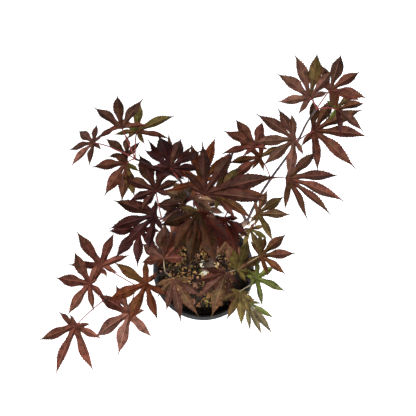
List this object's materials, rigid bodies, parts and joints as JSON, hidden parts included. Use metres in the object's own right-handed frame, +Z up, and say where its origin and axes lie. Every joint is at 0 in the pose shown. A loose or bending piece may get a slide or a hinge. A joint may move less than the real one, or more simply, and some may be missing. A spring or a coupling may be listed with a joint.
{
  "type": "potted japanese maple",
  "caption": "Young grafted maple with seven-lobed purple leaves on thin spreading shoots, standing in a round plastic nursery pot.",
  "frame": {"origin": "middle of the flat underside of the pot", "axes": "+Z up, +Y towards the back of the plant, +X towards the side its long right-hand bough grows to"},
  "size_m": [0.4255, 0.3778, 0.493],
  "materials": {
    "pot_plastic": "satin black moulded plastic",
    "compost": "rough damp bark compost",
    "bark": "grey-brown young bark with a pale sawn face",
    "young_bark": "smooth dark shoots",
    "stalk": "thin red leaf stalks",
    "leaf_purple": "dark purple leaf, slight sheen",
    "leaf_crimson": "dark red leaf, slight sheen",
    "leaf_maroon": "red-brown leaf, slight sheen",
    "leaf_bronze": "bronze leaf with green showing through",
    "leaf_brown": "pale brown leaf, slight sheen",
    "leaf_rust": "rust-orange leaf lit through",
    "leaf_olive": "olive leaf",
    "leaf_green": "green leaf grown in shade"
  },
  "bodies": {
    "root": {"pot": "pot_plastic", "soil": "compost", "trunk": "bark", "leader_lower": "young_bark", "leader_middle": "young_bark", "leader_upper": "young_bark", "left_bough": "young_bark", "middle_bough": "young_bark", "right_bough_lower": "young_bark", "right_bough_middle": "young_bark", "right_bough_upper": "young_bark", "low_left_bough": "young_bark", "low_left_bough_middle": "young_bark", "low_left_bough_outer": "young_bark", "low_right_bough": "young_bark", "low_right_bough_outer": "young_bark", "foliage_right_lower": "leaf_maroon", "foliage_right_middle": "leaf_maroon", "foliage_right_tip": "leaf_bronze", "foliage_graft": "leaf_olive", "foliage_centre_low": "leaf_crimson", "foliage_centre": "leaf_purple", "foliage_left_top": "leaf_purple", "foliage_left_far": "leaf_bronze", "foliage_left_middle": "leaf_purple", "foliage_over_pot": "leaf_brown", "foliage_low_left": "leaf_maroon", "foliage_low_left_tip": "leaf_maroon", "foliage_low_right": "leaf_olive", "foliage_low_right_front": "leaf_green"}
  },
  "joints": []
}
